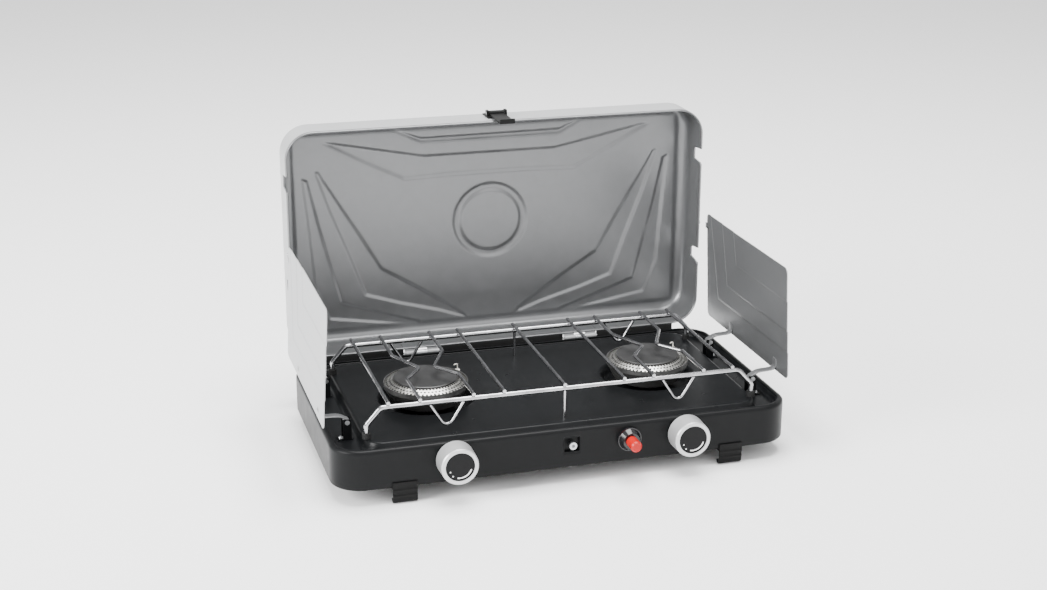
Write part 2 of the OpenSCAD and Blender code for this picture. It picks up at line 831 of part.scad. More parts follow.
// Pressed panel with nested L-shaped beads, two arms rolled round the hinge pins and a hook at the back
module windshield(side) {
  bead = 0.8;
  color(side > 0 ? "#8b8c8d" : "#dcdddd") at_base() on_side(side) shield_frame() {
    translate([shield_off + panel_t / 2, 0, 0]) rotate([90, 0, -90]) mirror([1, 0, 0])
      linear_extrude(panel_t) panel_outline();
    for (i = [0:2]) {
      back = shield_mid_y + shield_l / 2 - 26 - 32 * i;
      low = 36 + 30 * i;
      front = shield_mid_y - shield_l / 2 + 2;
      translate([shield_off - panel_t / 2 - bead, front, low]) cube([bead, back - front, 4]);
      translate([shield_off - panel_t / 2 - bead, back - 4, low]) cube([bead, 4, shield_h - low - 2]);
    }
    for (y = arm_places) translate([0, y + arm_w / 2, 0]) rotate([90, 0, 0]) linear_extrude(arm_w) arm_profile();
    translate([shield_off - panel_t / 2, shield_mid_y + shield_l / 2 - 3, shield_h - 20])
      cube([panel_t, hook_l + 3, 7]);
  }
}

module windshield_left() { windshield(-1); }
module windshield_right() { windshield(1); }

/* Lid and its hinges */

// Turns pieces drawn with the lid closed to where they are with the lid open
module with_lid() {
  at_base() translate([0, hinge_y, hinge_z]) rotate([-lid_open, 0, 0]) translate([0, -hinge_y, -hinge_z]) children();
}

// Knuckles of one hinge: one side has the middle, the other the two ends
module knuckles(middle) {
  third = hinge_l / 3;
  gap = 0.3;
  if (middle) along_x(-third / 2 + gap, third / 2 - gap, hinge_y, hinge_z, knuckle_r);
  else for (s = [-1, 1]) translate([s * third, 0, 0])
    along_x(-third / 2 + gap, third / 2 - gap, hinge_y, hinge_z, knuckle_r);
}

// Base-side leaves: a plate riveted to the back wall with a strap up to the middle knuckle
module hinge_base_leaves() {
  y = base_d / 2;
  t = 1.2;
  third = hinge_l / 3;
  color("#b4b6b8") at_base() both_sides() translate([hinge_x, 0, 0]) difference() {
    union() {
      translate([-hinge_l / 2, y, hinge_z - 20]) cube([hinge_l, t, 15]);
      translate([-third / 2 + 0.3, y, hinge_z - 8]) cube([third - 0.6, t, 8]);
      translate([-third / 2 + 0.3, y, hinge_z - knuckle_r]) cube([third - 0.6, hinge_y - y, t]);
      knuckles(true);
    }
    along_x(-hinge_l, hinge_l, hinge_y, hinge_z, hinge_pin_r);
    for (s = [-1, 1]) along_y(s * hinge_l / 3, y - over, y + t + over, hinge_z - 13, 1.6);
  }
}

module hinge_pins() {
  color("silver") at_base() both_sides() translate([hinge_x, 0, 0])
    along_x(-hinge_l / 2 - 1, hinge_l / 2 + 1, hinge_y, hinge_z, hinge_pin_r);
}

// Lid-side leaves: a plate on the lid's back wall with straps down to the end knuckles
module hinge_lid_leaves() {
  y = lid_half_d;
  t = 1.2;
  third = hinge_l / 3;
  color("#b4b6b8") with_lid() both_sides() translate([hinge_x, 0, 0]) difference() {
    union() {
      translate([-hinge_l / 2, y, lid_z + 4]) cube([hinge_l, t, 15]);
      for (s = [-1, 1]) translate([s * third - third / 2 + 0.3, 0, 0]) {
        translate([0, y, lid_z + 0.4]) cube([third - 0.6, t, 5]);
        translate([0, y, lid_z + 0.4]) cube([third - 0.6, hinge_y - y, t]);
      }
      knuckles(false);
    }
    along_x(-hinge_l, hinge_l, hinge_y, hinge_z, hinge_pin_r + running);
    for (s = [-1, 1]) along_y(s * hinge_l / 3, y - over, y + t + over, lid_z + 12, 1.6);
  }
}

// Plates inside the lid's back wall that the hinge rivets pull against
module hinge_backing_plates() {
  y = lid_half_d - sheet;
  color("#d8dadb") with_lid() both_sides() translate([hinge_x - hinge_l / 2, y - 1.2, lid_z + hem_h + 0.2])
    cube([hinge_l, 1.2, 15]);
}

// Deep-drawn lid with a rolled rim. Notches in its side rims pass the windshields' arms.
module lid_shell() {
  before = arm_w / 2 + 3.5;
  behind = arm_w / 2 + 1;
  notch_h = shield_pin_up + arm_rise + 4;
  color("#a9abad") with_lid() difference() {
    union() {
      slab(lid_z, lid_z + lid_depth) rounded(2 * lid_half_w, 2 * lid_half_d, lid_r);
    }
    slab(lid_z + hem_h, lid_z + lid_depth - sheet)
      rounded(2 * (lid_half_w - sheet), 2 * (lid_half_d - sheet), lid_r - sheet);
    slab(lid_z - over, lid_z + hem_h + over)
      rounded(2 * (lid_half_w - hem_w), 2 * (lid_half_d - hem_w), lid_r - hem_w);
    for (s = [-1, 1], y = arm_places)
      translate([s * (lid_half_w - hem_w / 2) - 4, y - before, lid_z - over])
        cube([8, before + behind, notch_h + over]);
  }
}

// Small studs on the lid's sides beside the windshields' hooks
module lid_studs() {
  up = shield_pin_z + shield_h - 16.5;
  y = hinge_y + hinge_z - up;
  color("silver") with_lid() both_sides() along_x(lid_half_w, lid_half_w + 1.6, y, lid_z + 5, 2.2);
}

/* Latch */

// Two ears on the lid's front wall
module latch_bracket() {
  y = -lid_half_d;
  ear = 3;
  half = latch_w / 2;
  color("#141516") with_lid() difference() {
    union() {
      translate([-half, y - 1.6, latch_pin_z - 9]) cube([latch_w, 1.6, 26]);
      for (s = [-1, 1]) translate([s * (half - ear / 2) - ear / 2, latch_y - 3.4, latch_pin_z - 3.4])
        cube([ear, y - latch_y + 3.4, 6.8]);
    }
    along_x(-half - over, half + over, latch_y, latch_pin_z, 1.5);
  }
}

module latch_pin() {
  half = latch_w / 2;
  color("silver") with_lid() along_x(-half, half, latch_y, latch_pin_z, 1.5);
}

// Snap lever that hangs from the pin and closes over the stud
module latch_lever() {
  half = latch_w / 2 - 3 - free_gap;
  front = front_y - 1.2 - latch_t;
  low = catch_z - 9;
  color("#1c1d1e") with_lid() difference() {
    union() {
      along_x(-half, half, latch_y, latch_pin_z, 3);
      translate([-half, front, low]) cube([2 * half, latch_t, latch_pin_z - low - 1]);
      translate([-half, front - 3, low]) cube([2 * half, 3.2, 2.4]);
    }
    along_x(-half - over, half + over, latch_y, latch_pin_z, 1.5 + running);
    along_y(0, front - 4, front_y, catch_z, stud_r + 1);
  }
}

base_shell();
top_deck();
bottom_plate();
bottom_screws();
foot_clip_left();
foot_clip_right();
rear_feet();
catch_cup();
catch_stud();
gas_inlet();
inlet_nut();
manifold_pipe();
valve_left();
valve_right();
jet_left();
jet_right();
mixing_tube_left();
mixing_tube_right();
burner_bowl_left();
burner_bowl_right();
burner_ring_left();
burner_ring_right();
burner_cap_left();
burner_cap_right();
electrode_left();
electrode_right();
ignition_lead_left();
ignition_lead_right();
igniter_body();
igniter_bezel();
igniter_nut();
igniter_button();
valve_stem_left();
valve_stem_right();
knob_left();
knob_right();
knob_face_left();
knob_face_right();
support_grommets();
support_front_rail();
support_back_rail();
support_cross_bars();
support_burner_bars();
support_hangers();
windshield_brackets();
windshield_pins();
bracket_rivets();
windshield_left();
windshield_right();
hinge_base_leaves();
hinge_pins();
hinge_lid_leaves();
hinge_backing_plates();
lid_shell();
lid_studs();
latch_bracket();
latch_pin();
latch_lever();
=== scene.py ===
import math
import bpy
import numpy as np
from mathutils import Matrix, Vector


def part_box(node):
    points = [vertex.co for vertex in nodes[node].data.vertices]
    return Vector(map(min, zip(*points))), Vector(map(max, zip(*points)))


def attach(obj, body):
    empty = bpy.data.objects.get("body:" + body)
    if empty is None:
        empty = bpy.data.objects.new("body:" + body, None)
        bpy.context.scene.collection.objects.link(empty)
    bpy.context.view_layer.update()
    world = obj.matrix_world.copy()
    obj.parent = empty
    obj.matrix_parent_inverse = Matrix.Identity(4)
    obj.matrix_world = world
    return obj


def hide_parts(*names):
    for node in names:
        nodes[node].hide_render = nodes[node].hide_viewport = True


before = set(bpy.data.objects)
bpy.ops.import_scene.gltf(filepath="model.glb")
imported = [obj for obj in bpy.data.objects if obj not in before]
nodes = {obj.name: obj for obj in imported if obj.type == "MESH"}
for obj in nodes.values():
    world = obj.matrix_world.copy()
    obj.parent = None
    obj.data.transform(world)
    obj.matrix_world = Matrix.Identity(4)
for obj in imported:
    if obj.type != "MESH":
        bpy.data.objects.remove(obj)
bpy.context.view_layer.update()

# ---------------------------------------------------------------- camera
# A long lens that looks down on the open stove from its front left.
camera = bpy.data.objects.new("camera", bpy.data.cameras.new("camera"))
bpy.context.scene.collection.objects.link(camera)
bpy.context.scene.camera = camera
camera.data.lens = 58.87
camera.data.sensor_width = 36
# the middle of the base stands this far in front of the origin
mid_y = (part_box("base_shell")[0][1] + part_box("base_shell")[1][1]) / 2
turn = math.radians(-16.48)
tilt = math.radians(90 - 18.39)
camera_roll = math.radians(0.17)
camera_place = (-0.5354, -1.7610 + mid_y, 0.7823)
camera.matrix_world = (Matrix.Translation(camera_place) @ Matrix.Rotation(turn, 4, "Z")
                       @ Matrix.Rotation(tilt, 4, "X") @ Matrix.Rotation(camera_roll, 4, "Z"))

# ---------------------------------------------------------------- floor and light
# A wide pale floor under an even sky, with a big soft light at the upper left, one in front and
# one overhead.


class Sock:
    """A shader socket that does arithmetic with numbers and other sockets."""

    def __init__(self, tree, out):
        self.tree, self.out = tree, out

    def node(self, kind, pick=0, settings=None, **inputs):
        """Adds a node of that kind, sets or links its named inputs, and returns its output number pick."""
        n = self.tree.nodes.new("ShaderNode" + kind)
        for key, value in (settings or {}).items():
            setattr(n, key, value)
        for key, value in inputs.items():
            key = key.replace("_", " ")
            target = n.inputs[int(key[1:])] if key[0] == "i" and key[1:].isdigit() else n.inputs[key]
            if isinstance(value, Sock):
                self.tree.links.new(value.out, target)
            else:
                target.default_value = value
        return Sock(self.tree, n.outputs[pick])

    def math(self, operation, *values):
        """A maths node over numbers and sockets."""
        return self.node("Math", 0, {"operation": operation}, **{"i%d" % i: v for i, v in enumerate(values)})

    def __add__(self, other):
        return self.math("ADD", self, other)

    def __radd__(self, other):
        return self.math("ADD", other, self)

    def __sub__(self, other):
        return self.math("SUBTRACT", self, other)

    def __rsub__(self, other):
        return self.math("SUBTRACT", other, self)

    def __mul__(self, other):
        return self.math("MULTIPLY", self, other)

    def __rmul__(self, other):
        return self.math("MULTIPLY", other, self)

    def step(self, low, high):
        """0 below low, 1 above high and smooth between."""
        return self.node("MapRange", 0, {"interpolation_type": "SMOOTHSTEP"}, Value=self, From_Min=low,
                         From_Max=high)

    def mix(self, a, b):
        """Colour a where this is 0 and b where it is 1."""
        return self.node("Mix", 2, {"data_type": "RGBA"}, i0=self, i6=a, i7=b)


def material(name, colour, rough, metallic=0.0, coat=0.0, grain=0.0, size=900.0, mottle=0.06, specular=0.5,
             patchy=60.0):
    """A finish with faint unevenness: its colour and roughness drift by mottle over patches, and a fine
    bump of height grain in metres has size lumps in a metre."""
    m = bpy.data.materials.new(name)
    m.use_nodes = True
    tree = m.node_tree
    skin = tree.nodes["Principled BSDF"]
    at = Sock(tree, tree.nodes.new("ShaderNodeTexCoord").outputs["Object"])
    patch = at.node("TexNoise", 0, Vector=at, Scale=patchy, Detail=3.0)
    dark = tuple(c * (1 - mottle) for c in colour) + (1.0,)
    light = tuple(min(c * (1 + mottle), 1.0) for c in colour) + (1.0,)
    tree.links.new(patch.step(0.3, 0.7).mix(dark, light).out, skin.inputs["Base Color"])
    tree.links.new((rough + (patch - 0.5) * 0.12).out, skin.inputs["Roughness"])
    skin.inputs["Metallic"].default_value = metallic
    skin.inputs["Coat Weight"].default_value = coat
    skin.inputs["Coat Roughness"].default_value = 0.12
    skin.inputs["Specular IOR Level"].default_value = specular
    if grain:
        lumps = at.node("TexNoise", 0, Vector=at, Scale=size, Detail=2.0)
        bump = at.node("Bump", 0, Height=lumps, Distance=grain, Strength=1.0)
        tree.links.new(bump.out, skin.inputs["Normal"])
    return m


def light_panel(name, place, aim, size, power):
    """A square soft light at place that faces aim."""
    lamp = bpy.data.objects.new(name, bpy.data.lights.new(name, "AREA"))
    bpy.context.scene.collection.objects.link(lamp)
    lamp.data.size = size
    lamp.data.energy = power
    away = np.array(place) - np.array(aim)
    side = np.cross((0, 0, 1), away) if abs(away[2]) < 0.99 * np.linalg.norm(away) else np.array((1.0, 0, 0))
    rise = np.cross(away, side)
    axes = np.column_stack([v / np.linalg.norm(v) for v in (side, rise, away)])
    lamp.matrix_world = Matrix.Translation(place) @ Matrix([list(r) for r in axes]).to_4x4()


light_panel("left light", (-2.4, -0.6, 1.3), (0, 0, 0.15), 1.4, 120)
light_panel("top light", (0.1, 0.1, 2.6), (0, 0, 0.1), 1.8, 150)
light_panel("front light", (0.8, -2.8, 1.8), (0, 0, 0.15), 1.8, 22)
world = bpy.data.worlds.new("sky")
bpy.context.scene.world = world
world.use_nodes = True
world.node_tree.nodes["Background"].inputs["Color"].default_value = (1.0, 1.0, 1.0, 1.0)
world.node_tree.nodes["Background"].inputs["Strength"].default_value = 1.15

floor_reach = 9
floor_z = -0.0005
floor_places = [(x * floor_reach, y * floor_reach, floor_z) for x, y in ((-1, -1), (1, -1), (1, 1), (-1, 1))]
floor_mesh = bpy.data.meshes.new("floor")
floor_mesh.from_pydata(floor_places, [], [(0, 1, 2, 3)])
floor = bpy.data.objects.new("floor", floor_mesh)
bpy.context.scene.collection.objects.link(floor)
floor_mesh.materials.append(material("pale floor", (0.96, 0.96, 0.96), 0.95, mottle=0.0, specular=0.2))

# ---------------------------------------------------------------- base shell
# One pressed wall of black enamelled steel, with a soft fold at the top, a rim turned in and a flange below.
black_enamel = material("black enamel", (0.0055, 0.0058, 0.0062), 0.36, grain=0.000006, size=900,
                        specular=0.11)
dark_nylon = material("dark nylon", (0.006, 0.006, 0.006), 0.45, grain=0.00001, size=1200, specular=0.14)


def smooth(x):
    """Smoothstep: 0 at 0 and below, 1 at 1 and above."""
    x = np.clip(x, 0, 1)
    return x * x * (3 - 2 * x)


def outline_way(x, y, half_w, half_d, radius):
    """The outward direction at points on a rounded rectangle's outline."""
    dx = np.clip(np.abs(x) - (half_w - radius), 0, None) * np.sign(x)
    dy = np.clip(np.abs(y) - (half_d - radius), 0, None) * np.sign(y)
    size = np.maximum(np.hypot(dx, dy), 1e-12)
    return dx / size, dy / size


def make(name, verts, faces, body, mats, mat_index=None, flat=False):
    """A mesh object in the row frame, in metres, that rides on a body."""
    mesh = bpy.data.meshes.new(name)
    mesh.from_pydata([tuple(v) for v in verts], [], [tuple(int(i) for i in f) for f in faces])
    for m in mats:
        mesh.materials.append(m)
    if mat_index is not None:
        mesh.polygons.foreach_set("material_index", np.asarray(mat_index, np.int32))
    mesh.polygons.foreach_set("use_smooth", np.full(len(mesh.polygons), not flat))
    mesh.update()
    obj = bpy.data.objects.new(name, mesh)
    bpy.context.scene.collection.objects.link(obj)
    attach(obj, body)
    return obj


def wall(obj, thick, side=-1, inner=0, bevel=0.0):
    """Gives a surface its wall: Solidify, grown against the normals when side is -1."""
    solid = obj.modifiers.new("wall", "SOLIDIFY")
    solid.thickness = thick
    solid.offset = side
    solid.material_offset = inner
    solid.use_even_offset = True
    if bevel:
        soft = obj.modifiers.new("soft edges", "BEVEL")
        soft.width = bevel
        soft.segments = 2
        soft.limit_method = "ANGLE"


def net(across, along, closed=False):
    """Quads of a grid whose places are numbered row by row, with along places in each of across rows."""
    i = np.arange(across - 1)[:, None]
    j = np.arange(along if closed else along - 1)[None, :]
    nxt = (j + 1) % along
    corners = [i * along + j, i * along + nxt, (i + 1) * along + nxt, (i + 1) * along + j]
    return np.stack(corners, -1).reshape(-1, 4)


def paint(finish, *names):
    """Gives CAD nodes their finish."""
    for name in names:
        nodes[name].data.materials.clear()
        nodes[name].data.materials.append(finish)


def middle(name):
    """The middle of a node's box."""
    low, high = (np.array(v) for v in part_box(name))
    return (low + high) / 2


sheet = 0.0008
shell_lo, shell_hi = (np.array(v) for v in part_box("base_shell"))
half_w, half_d = (shell_hi - shell_lo)[:2] / 2
shell_r = 0.035
rim_in = 0.006
flange = 0.010
soft_top = 0.0042
soft_foot = 0.0022
cup_lo, cup_hi = (np.array(v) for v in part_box("catch_cup"))
quarter = np.linspace(0, math.pi / 2, 7)
straight_x = half_w - shell_r
straight_y = half_d - shell_r
# places round the wall: each side of the catch cup, across the cup, and along each end
front_steps, cup_steps, side_steps = 110, 9, 84
front_x = np.concatenate([np.linspace(-straight_x, cup_lo[0], front_steps)[:-1],
                          np.linspace(cup_lo[0], cup_hi[0], cup_steps),
                          np.linspace(cup_hi[0], straight_x, front_steps)[1:]])
side_y = np.linspace(-straight_y, straight_y, side_steps)
bend = np.linspace(0, math.pi / 2, 17)[1:-1]
bend_sin, bend_cos = shell_r * np.sin(bend), shell_r * np.cos(bend)
ring_x = np.concatenate([front_x, straight_x + bend_sin, np.full(side_steps, half_w), straight_x + bend_cos,
                         front_x[::-1], -straight_x - bend_sin, np.full(side_steps, -half_w),
                         -straight_x - bend_cos])
ring_y = np.concatenate([np.full(len(front_x), -half_d), -straight_y - bend_cos, side_y, straight_y + bend_sin,
                         np.full(len(front_x), half_d), straight_y + bend_cos, side_y[::-1],
                         -straight_y - bend_sin])
way_x, way_y = outline_way(ring_x, ring_y, half_w, half_d, shell_r)
# the wall's section from the flange's edge to the rim's edge: how far in from the outside, and height
low_z, top_z = shell_lo[2], shell_hi[2]
section = [(flange, low_z), (flange / 2, low_z)]
section += [(soft_foot * (1 - math.sin(a)), low_z + soft_foot * (1 - math.cos(a))) for a in quarter]
section += [(0, z) for z in np.linspace(low_z + soft_foot, cup_lo[2], 6)[1:]]
section += [(0, z) for z in np.linspace(cup_lo[2], cup_hi[2], 9)[1:]]
section += [(0, z) for z in np.linspace(cup_hi[2], top_z - soft_top, 4)[1:-1]]
section += [(soft_top * (1 - math.cos(a)), top_z - soft_top * (1 - math.sin(a))) for a in quarter]
section += [(rim_in, top_z), (rim_in + 0.0006, top_z - 0.0003)]
verts = np.vstack([np.column_stack([ring_x - way_x * far_in, ring_y - way_y * far_in + mid_y,
                                    np.full(len(ring_x), z)]) for far_in, z in section])
faces = net(len(section), len(ring_x), closed=True)
centre = verts[faces].mean(1)


def hole_at(name, radius):
    """Which faces of the wall lie round a part that passes through it."""
    place = middle(name)
    same_side = np.sign(centre[:, 1] - mid_y) == np.sign(place[1] - mid_y)
    return same_side & (np.hypot(centre[:, 0] - place[0], centre[:, 2] - place[2]) < radius)


on_wall = np.abs(centre[:, 1] - mid_y) > half_d - 0.001
cup = (np.abs(centre[:, 0]) < cup_hi[0]) & (centre[:, 2] > cup_lo[2]) & (centre[:, 2] < cup_hi[2])
gone = cup & (centre[:, 1] < mid_y)
pipe_hole_r = 0.007
bezel_hole_r = 0.0095
for name, radius in (("valve_stem_left", pipe_hole_r), ("valve_stem_right", pipe_hole_r),
                     ("igniter_bezel", bezel_hole_r), ("gas_inlet", pipe_hole_r)):
    gone |= hole_at(name, radius)
base = make("base_shell_pressed", verts, faces[~(gone & on_wall)], "base", [black_enamel])
wall(base, sheet)
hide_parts("base_shell")

# ---------------------------------------------------------------- deck
# A pressed plate in black enamel: a raised plateau with soft shoulders, a channel round it and a dish
# under each burner.
deck_enamel = material("deck enamel", (0.0055, 0.006, 0.0065), 0.3, grain=0.000005, size=900, specular=0.12)


def rounded_grid(half_w, half_d, radius, nx, ny):
    """A grid over a rectangle with round corners. Each corner square is folded onto a quarter of a disc:
    a point's larger coordinate gives its radius and the ratio of the two gives its angle."""
    x, y = np.meshgrid(np.linspace(-half_w, half_w, nx), np.linspace(-half_d, half_d, ny), indexing="ij")
    p = (np.abs(x) - (half_w - radius)) / radius
    q = (np.abs(y) - (half_d - radius)) / radius
    corner = (p > 0) & (q > 0)
    p, q = np.clip(p, 1e-9, 1), np.clip(q, 1e-9, 1)
    angle = np.where(p >= q, q / p, 2 - p / q) * math.pi / 4
    far = np.maximum(p, q) * radius
    x = np.where(corner, np.sign(x) * (half_w - radius + far * np.cos(angle)), x)
    y = np.where(corner, np.sign(y) * (half_d - radius + far * np.sin(angle)), y)
    return x, y


def inset(x, y, half_w, half_d, radius):
    """How far a point lies inside a rounded rectangle, negative outside."""
    p = np.abs(x) - (half_w - radius)
    q = np.abs(y) - (half_d - radius)
    outside = np.hypot(np.clip(p, 0, None), np.clip(q, 0, None))
    return radius - outside - np.minimum(np.maximum(p, q), 0)


deck_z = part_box("top_deck")[1][2]
channel_z = top_z - 0.0085
dish_z = deck_z - 0.012
channel_w = 0.028
back_channel_w = 0.014
plateau_r = 0.024
shoulder = 0.0055
rim_shoulder = 0.0035
dish_r = 0.0485
dish_shoulder = 0.0065
neck_r = 0.0165
cells_x, cells_y = 290, 158
plate_w, plate_d = half_w - rim_in + 0.0004, half_d - rim_in + 0.0004
gx, gy = rounded_grid(plate_w, plate_d, shell_r - rim_in, cells_x, cells_y)
at_rim = inset(gx, gy, plate_w, plate_d, shell_r - rim_in)
height = channel_z + (top_z - sheet - 0.0001 - channel_z) * (1 - smooth(at_rim / rim_shoulder))
plateau_half_w = half_w - rim_in - channel_w
plateau_half_d = half_d - rim_in - back_channel_w / 2
up = inset(gx, gy + back_channel_w / 2, plateau_half_w, plateau_half_d, plateau_r)
height += (deck_z - height) * smooth(up / shoulder)
burners = {side: middle("burner_ring_" + side) for side in ("left", "right")}
neck = np.zeros_like(gx, bool)
for place in burners.values():
    away = np.hypot(gx - place[0], gy + mid_y - place[1])
    height = np.minimum(height, dish_z + (deck_z - dish_z) * smooth((away - dish_r) / dish_shoulder))
    neck |= away < neck_r
verts = np.column_stack([gx.ravel(), gy.ravel() + mid_y, height.ravel()])
faces = net(cells_x, cells_y)[:, ::-1]
faces = faces[~neck.ravel()[faces].any(1)]
deck = make("deck_pressed", verts, faces, "base", [deck_enamel])
wall(deck, sheet)
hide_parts("top_deck")
paint(material("thin black paint", (0.02, 0.02, 0.02), 0.5, grain=0.00003), "bottom_plate")

# ---------------------------------------------------------------- feet, brackets and fasteners
# Black spring-steel clips in front and rubber feet behind, channel brackets, zinc screws, rivets and pins.
spring_black = material("black spring steel", (0.004, 0.004, 0.004), 0.4, specular=0.12)
zinc = material("zinc plate", (0.50, 0.51, 0.52), 0.3, metallic=1.0)
# rubber for the rear feet and grommets; the same dark material also colours the painted shade strip under the
# lid's hem
rubber = material("rubber", (0.012, 0.012, 0.012), 0.7, grain=0.00008, size=800, specular=0.3)
clip_t = 0.002
ridge = 0.0009
ridge_w = 0.0011
ridge_z = (0.0150, 0.0085)
curl = 0.004
leg_l = 0.021
side_gap = 0.0001
for side in ("left", "right"):
    clip_lo, clip_hi = (np.array(v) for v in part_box("foot_clip_" + side))
    face_y = clip_lo[1] + clip_t / 2
    up = np.linspace(clip_hi[2], curl, 26)
    # the front strip's middle line: down the face over two shallow ridges, then curled back at the foot
    bulge = sum(np.exp(-((up - z) / ridge_w) ** 2) for z in ridge_z)
    around = np.linspace(math.pi, 2 * math.pi, 12)[1:]
    radius = curl - clip_t / 2
    line_y = np.concatenate([face_y - ridge * bulge, face_y + radius + radius * np.cos(around)])
    line_z = np.concatenate([up, curl + radius * np.sin(around)])
    leg_y = np.linspace(face_y, face_y + leg_l, 5)
    leg_z = np.full(5, low_z - clip_t / 2)
    edges = (clip_lo[0] + side_gap, clip_hi[0] - side_gap)
    verts, faces = [], []
    for ys, zs in ((line_y, line_z), (leg_y, leg_z)):
        faces.append(net(2, len(ys)) + sum(len(v) for v in verts))
        verts += [np.column_stack([np.full(len(ys), x), ys, zs]) for x in edges]
    clip = make("foot_clip_bent_" + side, np.vstack(verts), np.vstack(faces), "base",
                [spring_black])
    wall(clip, clip_t, side=0, bevel=0.0004)
    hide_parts("foot_clip_" + side)
paint(rubber, "rear_feet", "support_grommets")
paint(zinc, "bottom_screws", "bracket_rivets", "catch_stud")
paint(black_enamel, "windshield_brackets", "catch_cup")

# ---------------------------------------------------------------- gas parts
# Brass inlet, valves and jets, and an aluminised steel pipe and mixing tubes that carry the gas to
# the burners.
brass = material("brass", (0.60, 0.44, 0.20), 0.3, metallic=1.0, mottle=0.1)
tube_steel = material("aluminised tube", (0.35, 0.36, 0.37), 0.42, metallic=1.0)
paint(brass, "gas_inlet", "inlet_nut", "valve_left", "valve_right", "jet_left", "jet_right")
paint(tube_steel, "manifold_pipe", "mixing_tube_left", "mixing_tube_right")

# ---------------------------------------------------------------- burners
# A dark bowl and cap, and between them a sloping skirt of bright steel sheet punched with three rows
# of ports.
bowl_steel = material("burner bowl", (0.10, 0.10, 0.098), 0.42, metallic=0.7, mottle=0.2)
bright_steel = material("bare bright steel", (0.58, 0.57, 0.54), 0.3, metallic=1.0, mottle=0.25, patchy=260)
cap_steel = material("burner cap", (0.045, 0.045, 0.045), 0.4, metallic=0.5, grain=0.00001, mottle=0.2)
ceramic = material("ceramic", (0.8, 0.78, 0.72), 0.25, coat=0.5)
port = 0.00135
ports_round = 62
port_rows = 3
skirt_t = 0.0006
skirt_in = 0.0003
skirt_inner = 0.035
foot_h = 0.0013
foot_edge = 0.0009
lip_drop = 0.0002


def punched_skirt(centre, low_z, top_z, outer, inner, ports, rows):
    """A cone of sheet with rows of round ports. Round the cone run ports cells a row, each row half a
    cell further on. A cell joins the eight points of its border to the eight points of its port's edge."""
    half_cells = 2 * ports
    turn = math.pi / ports
    slope = np.array([inner - outer, top_z - low_z])
    length = np.linalg.norm(slope)

    def on_cone(angle, along):
        """Places on the cone: an angle round it, and a length along its slope from the lower edge."""
        radius = outer + slope[0] * along / length
        return np.column_stack([centre[0] + radius * np.cos(angle), centre[1] + radius * np.sin(angle),
                                low_z + slope[1] * along / length])

    borders = np.linspace(0, length, rows + 1)
    angles = np.arange(half_cells) * turn
    places = [on_cone(angles, np.full(half_cells, b)) for b in borders]
    first_side = (rows + 1) * half_cells
    first_hole = first_side + rows * ports
    cell = np.arange(ports)
    holes, quads = [], []
    for row in range(rows):
        shift = row % 2
        mid = (borders[row] + borders[row + 1]) / 2
        places.append(on_cone((2 * cell + shift) * turn, np.full(ports, mid)))
        around = np.arange(8) * math.pi / 4 - 3 * math.pi / 4
        radius = outer + slope[0] * mid / length
        angle = ((2 * cell + shift + 1) * turn)[:, None] + port / radius * np.cos(around)[None, :]
        along = np.broadcast_to(mid + port * np.sin(around), angle.shape)
        holes.append(on_cone(angle.ravel(), along.ravel()))
        step = [row * half_cells + (2 * cell + shift + k) % half_cells for k in range(3)]
        high = [s + half_cells for s in step]
        left = first_side + row * ports + cell
        right = first_side + row * ports + (cell + 1) % ports
        border = np.stack([step[0], step[1], step[2], right, high[2], high[1], high[0], left], 1)
        edge = first_hole + (row * ports + cell)[:, None] * 8 + np.arange(8)[None, :]
        sides = [border, np.roll(border, -1, 1), np.roll(edge, -1, 1), edge]
        quads.append(np.stack(sides, -1).reshape(-1, 4))
    return np.vstack(places + holes), np.vstack(quads)


def turned(profile, centre, steps):
    """A profile of radius and height turned round a vertical axis."""
    angle = np.arange(steps) * 2 * math.pi / steps
    rings = [np.column_stack([centre[0] + r * np.cos(angle), centre[1] + r * np.sin(angle),
                              np.full(steps, z)]) for r, z in profile]
    return np.vstack(rings), net(len(profile), steps, closed=True)


for side, place in burners.items():
    ring_lo, ring_hi = (np.array(v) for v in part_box("burner_ring_" + side))
    outer = (ring_hi[0] - ring_lo[0]) / 2
    skirt_low, skirt_top = ring_lo[2] + foot_h, ring_hi[2] - lip_drop
    skirt, cells = punched_skirt(place, skirt_low, skirt_top, outer - skirt_in, skirt_inner, ports_round,
                                 port_rows)
    foot, foot_cells = turned([(outer, ring_lo[2]), (outer, ring_lo[2] + foot_edge),
                               (outer - skirt_in, skirt_low)], place, 2 * ports_round)
    lip, lip_cells = turned([(skirt_inner, skirt_top), (skirt_inner - 0.0008, ring_hi[2]),
                             (skirt_inner - 0.0035, ring_hi[2])], place, 2 * ports_round)
    verts = np.vstack([skirt, foot, lip])
    faces = np.vstack([cells, foot_cells + len(skirt), lip_cells + len(skirt) + len(foot)])
    ring = make("burner_skirt_" + side, verts, faces, "base", [bright_steel], flat=True)
    merge = ring.modifiers.new("one sheet", "WELD")
    merge.merge_threshold = 0.00002
    wall(ring, skirt_t)
    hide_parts("burner_ring_" + side)
    paint(bowl_steel, "burner_bowl_" + side)
    paint(cap_steel, "burner_cap_" + side)
    paint(ceramic, "electrode_" + side)
paint(material("lead", (0.03, 0.03, 0.03), 0.6), "ignition_lead_left", "ignition_lead_right")

# ---------------------------------------------------------------- knobs and igniter
# Satin silver knobs with a dark face that has a printed gauge arc, and a red push button in a glossy bezel.
satin = material("satin silver", (0.56, 0.565, 0.57), 0.36, metallic=0.6, grain=0.00003, size=2600,
                 mottle=0.04)
dark_face = material("dark insert", (0.007, 0.007, 0.0075), 0.42, specular=0.12)
white_print = material("white print", (0.85, 0.85, 0.85), 0.5)
gloss_black = material("gloss black", (0.006, 0.006, 0.007), 0.14)
red = material("red plastic", (0.42, 0.003, 0.002), 0.3, specular=0.3)


